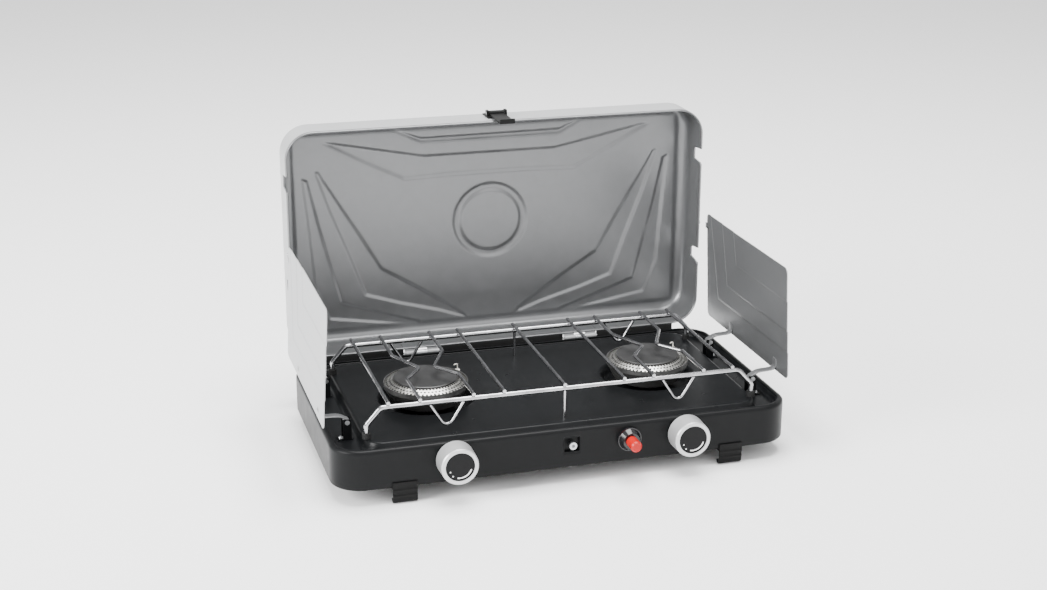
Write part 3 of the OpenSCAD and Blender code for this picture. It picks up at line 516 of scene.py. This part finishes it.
def mark(angle_low, angle_high, radius, width, steps):
    """A strip of a flat ring, seen from the front: sideways and up."""
    angle = np.radians(np.linspace(angle_low, angle_high, steps))
    edges = [radius - width / 2, radius + width / 2]
    return np.vstack([np.column_stack([r * np.cos(angle), r * np.sin(angle)]) for r in edges]), net(2, steps)


# each printed strip's first and last angle in degrees, its radius, its width and its steps
printed = ((-103, -18, 0.0128, 0.0014, 30), (-158, -151, 0.0118, 0.0014, 4),
           (-131, -124, 0.0128, 0.0014, 4))
print_t = 0.00015
print_gap = 0.00002
for side in ("left", "right"):
    paint(satin, "knob_" + side)
    paint(dark_face, "knob_face_" + side)
    paint(zinc, "valve_stem_" + side)
    place = middle("knob_face_" + side)
    print_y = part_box("knob_face_" + side)[0][1] - print_gap
    verts, faces = [], []
    for strip in printed:
        flat_places, cells = mark(*strip)
        faces.append(cells + sum(len(v) for v in verts))
        verts.append(np.column_stack([place[0] + flat_places[:, 0], np.full(len(flat_places), print_y),
                                      place[2] + flat_places[:, 1]]))
    gauge = make("knob_mark_" + side, np.vstack(verts), np.vstack(faces)[:, ::-1], "knob_%s_turning" % side,
                 [white_print])
    wall(gauge, print_t, side=1)
paint(gloss_black, "igniter_bezel")
paint(dark_nylon, "igniter_body", "igniter_nut")
paint(red, "igniter_button")

# ---------------------------------------------------------------- pan support
# Bright chromed wire: two rails, cross bars, cranked bars over the burners and hangers, spot-welded together.
chrome = material("chrome wire", (0.42, 0.42, 0.43), 0.15, metallic=1.0, mottle=0.2, grain=0.00001, size=300)
paint(chrome, "support_front_rail", "support_back_rail", "support_cross_bars", "support_burner_bars",
      "support_hangers")

# ---------------------------------------------------------------- windshields
# Painted steel panels, silver outside and grey inside, with nested steps pressed in, on two rolled arms each.
grey_paint = material("grey paint", (0.19, 0.193, 0.197), 0.33, metallic=0.6, grain=0.000004, size=1500,
                      mottle=0.03)
silver_paint = material("silver paint", (0.40, 0.405, 0.41), 0.42, metallic=0.2, grain=0.000004, size=1500,
                        mottle=0.02)
pin_r = 0.0026
pin_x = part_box("windshield_pins")[1][0] - pin_r
pin_z = middle("windshield_pins")[2]
lean = math.radians(2.5)
panel_off = 0.0315
panel_lo, panel_hi = (np.array(v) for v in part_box("windshield_right"))
hook_l = 0.007
hook_low, hook_high = 0.1175, 0.1245
panel_half_l = (panel_hi[1] - hook_l - panel_lo[1]) / 2
panel_mid_y = panel_lo[1] + panel_half_l
panel_low, panel_high = 0.005, 0.1375
panel_cells = (200, 112)
panel_in = 0.0008
step_in = 0.0006
step_soft = 0.0016
# each step's low edge above the pin, and where its slanting back edge stands at that height and at the top
steps = [(0.0985, 0.0326, 0.0410), (0.0630, 0.0616, 0.0760), (0.0375, 0.0907, 0.1140)]
arm_w = 0.009
arm_t = 0.0016
arm_r = 0.0025
arm_places = (-0.076 + mid_y, 0.051 + mid_y)


def beside_pin(side, out, y, up):
    """Places given as out from the pin, along it and up from it, with the panel leaning in at the top."""
    x = pin_x + out * math.cos(lean) - up * math.sin(lean)
    z = pin_z + up * math.cos(lean) + out * math.sin(lean)
    return np.column_stack([side * x, y, z])


for side, name in ((-1, "windshield_left"), (1, "windshield_right")):
    py, ps = rounded_grid(panel_half_l, (panel_high - panel_low) / 2, 0.007, *panel_cells)
    py, ps = py.ravel() + panel_mid_y, ps.ravel() + (panel_high + panel_low) / 2
    out = np.full(len(py), panel_off - panel_in)
    for low, back_low, back_top in steps:
        back = mid_y + back_low + (back_top - back_low) * (ps - low) / (panel_high - low)
        within = np.minimum(ps - low, back - py)
        out -= step_in * smooth(within / step_soft + 0.5)
    panel = beside_pin(side, out, py, ps)
    faces = net(*panel_cells)
    hook_y = np.array([-0.006, 0, hook_l - 0.003, hook_l - 0.002]) + panel_mid_y + panel_half_l
    hy, hs = np.meshgrid(hook_y, np.linspace(hook_low, hook_high, 3), indexing="ij")
    hook = beside_pin(side, np.full(hy.size, panel_off - panel_in), hy.ravel(), hs.ravel())
    verts = np.vstack([panel, hook])
    faces = np.vstack([faces, net(*hy.shape) + len(panel)])
    if side > 0:
        faces = faces[:, ::-1]
    shield = make(name + "_pressed", verts, faces, name + "_panel",
                  [silver_paint, grey_paint])
    wall(shield, sheet, inner=1)
    # an arm's middle line: rolled round the pin, then up and over to the panel's inner face
    roll = np.radians(np.linspace(55, -255, 26))
    line = [(arm_r * math.cos(a), arm_r * math.sin(a)) for a in roll]
    line += [(0.0012, 0.0030), (0.0045, 0.0050), (0.0080, 0.0062), (0.0120, 0.0066), (0.0180, 0.0066),
             (0.0235, 0.0066), (0.0270, 0.0074), (0.0292, 0.0095), (0.0299, 0.0125), (0.0299, 0.0190)]
    line = np.array(line)
    verts, faces = [], []
    for arm_y in arm_places:
        rows = [beside_pin(side, line[:, 0], np.full(len(line), y), line[:, 1])
                for y in np.linspace(arm_y - arm_w / 2, arm_y + arm_w / 2, 4)]
        faces.append(net(4, len(line)) + sum(len(v) for v in verts))
        verts += rows
    faces = np.vstack(faces)
    arms = make(name + "_arms", np.vstack(verts), faces if side < 0 else faces[:, ::-1], name + "_panel",
                [grey_paint])
    wall(arms, arm_t, side=0, bevel=0.0003)
    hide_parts(name)
paint(zinc, "windshield_pins")

# ---------------------------------------------------------------- lid
# Deep-drawn sheet steel, silver outside and grey inside, with slanted bands in its pressed top, a rolled rim,
# and a black strip of painted shade along its hinge side.


def inside_depth(points, corners):
    """How far each point lies inside a closed polygon: the distance to its nearest edge, negative outside."""
    corners = np.asarray(corners, float)
    best = np.full(len(points), 1e9)
    inside = np.zeros(len(points), bool)
    for a, b in zip(corners, np.roll(corners, -1, axis=0)):
        run = b - a
        t = np.clip(((points - a) @ run) / (run @ run), 0, 1)
        best = np.minimum(best, np.linalg.norm(points - a - t[:, None] * run, axis=1))
        crosses = (a[1] > points[:, 1]) != (b[1] > points[:, 1])
        with np.errstate(divide="ignore", invalid="ignore"):
            inside ^= crosses & (points[:, 0] < run[0] * (points[:, 1] - a[1]) / run[1] + a[0])
    return np.where(inside, best, -best)


def edge_loop(nx, ny):
    """Grid places round the outside of an nx by ny grid, anticlockwise from the first corner."""
    return ([(i, 0) for i in range(nx - 1)] + [(nx - 1, j) for j in range(ny - 1)]
            + [(i, ny - 1) for i in range(nx - 1, 0, -1)] + [(0, j) for j in range(ny - 1, 0, -1)])


# the bands' corners in millimetres: sideways from the middle, and up from the rim with the lid open
left_outer = [(-231, 211), (-226, 162), (-222, 112), (-219, 73), (-203, 33), (-166, 27), (-91, 14),
              (-91, 21), (-116, 29), (-187, 53), (-195, 84), (-211, 148), (-224, 208)]
left_inner = [(-215, 218), (-199, 169), (-176, 110), (-158, 60), (-116, 46), (-66, 32), (-30, 19),
              (-34, 25), (-46, 34), (-90, 64), (-137, 93), (-163, 138), (-183, 171), (-211, 218)]
top_band = [(-205, 253), (-161, 229), (-107, 202), (-51, 204), (51, 204), (107, 202), (161, 229), (205, 253),
            (192, 252), (82, 230), (-82, 230), (-192, 252)]
top_line = [(-126, 266), (-85, 252), (88, 253), (125, 268), (88, 247), (-85, 246)]
mirrored = [[(-x, y) for x, y in band] for band in (left_outer, left_inner)]
lid_lo, lid_hi = (np.array(v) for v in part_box("lid_shell"))
lid_half_w = (lid_hi[0] - lid_lo[0]) / 2
lid_half_d = (lid_hi[2] - lid_lo[2]) / 2
lid_deep = lid_hi[1] - lid_lo[1]
lid_middle_z = (lid_hi[2] + lid_lo[2]) / 2
fold = 0.012
lid_r = 0.033
dish = 0.0018
hem = 0.0024
hem_h = 0.0018
ground_soft = 0.006
# in millimetres: the rim's height, and the emblem ring's middle, radius and half width
rim_mm = 62.4
ring_up, ring_r, ring_half_w = 144, 42, 5.5
nx, ny = 264, 142
gx, gy = rounded_grid(lid_half_w - fold, lid_half_d - fold, lid_r - fold, nx, ny)
spots = np.column_stack([gx.ravel() * 1000, (gy.ravel() + lid_middle_z) * 1000 - rim_mm])
pressed = np.zeros(len(spots))
for band in [left_outer, left_inner, top_band, top_line] + mirrored:
    pressed = np.maximum(pressed, smooth((inside_depth(spots, band) + 0.6) / 2.4))
from_ring = np.abs(np.hypot(spots[:, 0], spots[:, 1] - ring_up) - ring_r)
pressed = np.maximum(pressed, smooth((ring_half_w - from_ring) / 2.5))
to_side = lid_half_w - fold - np.abs(gx.ravel())
to_end = lid_half_d - fold - np.abs(gy.ravel())
ground = smooth(np.minimum(to_side, to_end) / ground_soft)
drop = dish * (1 - pressed) * ground
loop = edge_loop(nx, ny)
ex = np.array([gx[i, j] for i, j in loop])
ey = np.array([gy[i, j] for i, j in loop])
wx, wy = outline_way(ex, ey, lid_half_w - fold, lid_half_d - fold, lid_r - fold)
fold_turn = np.linspace(0, math.pi / 2, 6)[1:]
# the wall's section from the outer fold round the rim to the inner fold: how far outward of the
# fold's start, and how deep
hem_start = lid_deep - 2 * hem_h
section = [(fold * math.sin(a), fold * (1 - math.cos(a))) for a in fold_turn]
section += [(fold, d) for d in np.linspace(fold, hem_start, 6)[1:]]
silver_rows = len(section)
section += [(fold - hem / 2 + hem / 2 * math.cos(a), lid_deep - hem_h + hem_h * math.sin(a))
            for a in np.linspace(-0.5, math.pi + 0.5, 9)]
section += [(fold - sheet, d) for d in np.linspace(hem_start, fold, 6)]
section += [(fold - sheet - (fold - sheet) * (1 - math.sin(a)), sheet + (fold - sheet) * (1 - math.cos(a)))
            for a in fold_turn[::-1][1:]]
# four notches in the side rims stand over the windshields' arms when the lid is shut, and cut says how
# far the rim is cut back
hinge = middle("hinge_pins")
notch_deep = 0.0222
notch_below, notch_above, notch_soft = 0.0080, 0.0105, 0.0022
cut = np.zeros(len(ex))
for arm_y in arm_places:
    arm_z = hinge[2] + hinge[1] - arm_y
    above = ey + lid_middle_z - arm_z
    cut = np.maximum(cut, smooth(np.minimum(above + notch_below, notch_above - above) / notch_soft))
cut *= notch_deep * (np.abs(wx) > 0.99)
deep_y = lid_hi[1]
verts = [np.column_stack([gx.ravel(), deep_y - drop, gy.ravel() + lid_middle_z])]
for out, down in section:
    shorter = down - cut * max(down - fold, 0) / (lid_deep - fold)
    verts.append(np.column_stack([ex + wx * out, deep_y - shorter, ey + wy * out + lid_middle_z]))
verts.append(np.column_stack([gx.ravel(), deep_y - drop - sheet, gy.ravel() + lid_middle_z]))
verts = np.vstack(verts)
cells = net(nx, ny)
n_grid, n_loop = nx * ny, len(loop)
outer_edge = np.array([i * ny + j for i, j in loop])
rows = [outer_edge] + [n_grid + k * n_loop + np.arange(n_loop) for k in range(len(section))]
rows.append(n_grid + len(section) * n_loop + outer_edge)
faces = [cells]
kinds = [np.ones(len(cells))]
for k, (a, b) in enumerate(zip(rows[:-1], rows[1:])):
    faces.append(np.column_stack([a, np.roll(a, -1), np.roll(b, -1), b]))
    kinds.append(np.full(n_loop, 1 if k < silver_rows else 0))
faces.append(cells[:, ::-1] + n_grid + len(section) * n_loop)
kinds.append(np.zeros(len(cells)))
lid = make("lid_pressed", verts, np.vstack(faces), "lid", [grey_paint, silver_paint],
           np.concatenate(kinds))
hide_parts("lid_shell")
# a black strip of painted shade hangs from the hem on the hinge side, a dark sheet standing for the shade
# under the hem there, in lengths that stop short of the two hinges
hinge_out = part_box("hinge_base_leaves")[1][0]
hinge_in = 0.080
hinge_gap = 0.0008
strip_end = lid_half_w - lid_r
strip_t = 0.0012
strip_low, strip_high = lid_lo[2] - 0.0090, lid_lo[2] + 0.0003
strip_y = lid_lo[1] + strip_t / 2 + 0.0001
verts, faces = [], []
for start, stop in ((-strip_end, -hinge_out - hinge_gap), (-hinge_in + hinge_gap, hinge_in - hinge_gap),
                    (hinge_out + hinge_gap, strip_end)):
    sx, sz = np.meshgrid(np.linspace(start, stop, 24), np.linspace(strip_low, strip_high, 5), indexing="ij")
    faces.append(net(*sx.shape) + sum(len(v) for v in verts))
    verts.append(np.column_stack([sx.ravel(), np.full(sx.size, strip_y), sz.ravel()]))
# painted shade: a dark strip where the hem and the hinge leaves shade the base's rear rim
shade_strip = make("lid_painted_shade_strip", np.vstack(verts), np.vstack(faces), "lid", [rubber])
wall(shade_strip, strip_t, side=0, bevel=0.0003)
paint(silver_paint, "hinge_lid_leaves")
paint(zinc, "hinge_base_leaves", "hinge_pins", "hinge_backing_plates", "lid_studs", "latch_pin")
paint(dark_nylon, "latch_bracket", "latch_lever")
